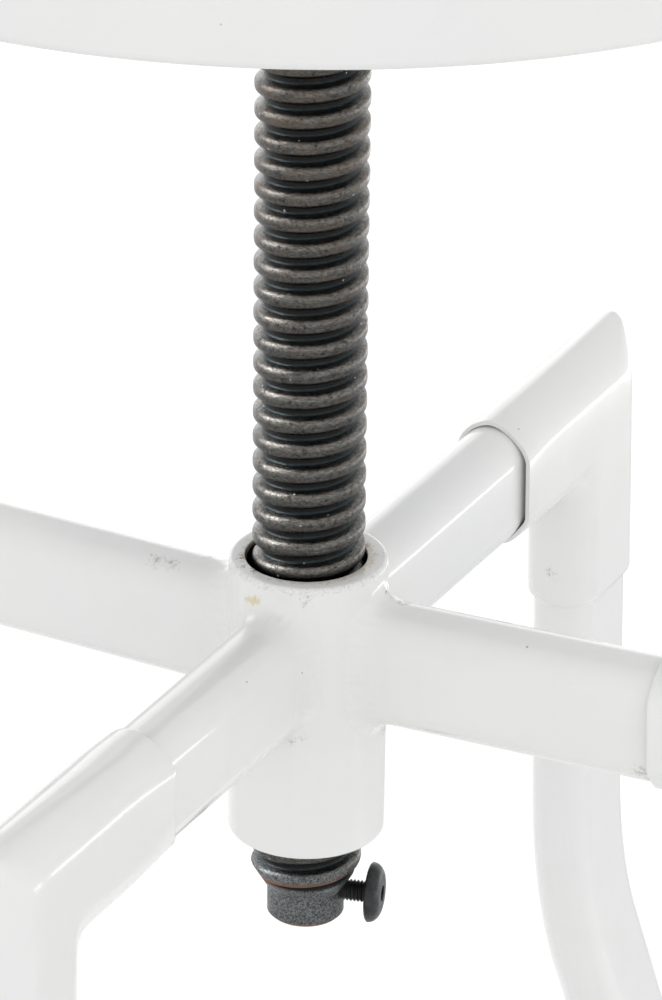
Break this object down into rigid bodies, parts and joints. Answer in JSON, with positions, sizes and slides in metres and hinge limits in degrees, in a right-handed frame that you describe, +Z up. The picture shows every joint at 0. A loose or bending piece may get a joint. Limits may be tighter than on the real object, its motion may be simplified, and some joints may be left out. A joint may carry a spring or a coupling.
{
  "type": "bar stool",
  "caption": "Height-adjustable stool: a round pressed seat on a screw spindle that turns in a hub, on bent flat-oval legs joined by mitred elbow sleeves and a footrest ring.",
  "frame": {"origin": "on the floor, under the spindle's axis", "axes": "+Z up along the spindle; the legs stand near the diagonals of X and Y, and the front is -Y"},
  "size_m": [0.425, 0.425, 0.7996],
  "materials": {
    "white_paint": "gloss white coating on steel",
    "blackened_steel": "blackened and oiled steel, worn grey on the thread crests",
    "bare_steel": "plain machined steel",
    "grey_rubber": "matt moulded rubber"
  },
  "bodies": {
    "frame": {"hub_tube": "white_paint", "spindle_nut": "bare_steel", "arm_front_left": "white_paint", "arm_front_right": "white_paint", "arm_back_right": "white_paint", "arm_back_left": "white_paint", "elbow_front_left": "white_paint", "elbow_front_right": "white_paint", "elbow_back_right": "white_paint", "elbow_back_left": "white_paint", "leg_front_left": "white_paint", "leg_front_right": "white_paint", "leg_back_right": "white_paint", "leg_back_left": "white_paint", "foot_front_left": "grey_rubber", "foot_front_right": "grey_rubber", "foot_back_right": "grey_rubber", "foot_back_left": "grey_rubber", "lock_screw_front_left": "blackened_steel", "lock_screw_front_right": "blackened_steel", "lock_screw_back_right": "blackened_steel", "lock_screw_back_left": "blackened_steel", "footrest_ring": "white_paint", "footrest_screw_front_left": "blackened_steel", "footrest_screw_front_right": "blackened_steel", "footrest_screw_back_right": "blackened_steel", "footrest_screw_back_left": "blackened_steel"},
    "lift": {"spindle_collar": "blackened_steel"},
    "seat": {"spindle": "blackened_steel", "stop_bolt": "blackened_steel", "seat_plate": "blackened_steel", "seat_stud_1": "bare_steel", "seat_stud_2": "bare_steel", "seat_stud_3": "bare_steel", "seat_stud_4": "bare_steel", "seat_nut_1": "bare_steel", "seat_nut_2": "bare_steel", "seat_nut_3": "bare_steel", "seat_nut_4": "bare_steel", "seat_pan": "white_paint"}
  },
  "joints": [
    {"name": "seat_lift", "type": "slide", "parent": "frame", "child": "lift", "axis": [0, 0, 1], "range_m": [-0.205, 0.01]},
    {"name": "seat_turn", "type": "hinge", "parent": "lift", "child": "seat", "pos_m": [0, 0, 0.7847], "axis": [0, 0, 1], "range_deg": [-10530, 510]}
  ],
  "couplings": [
    {"joint": "seat_lift", "follows": "seat_turn", "m_per_rad": 0.0011141}
  ]
}
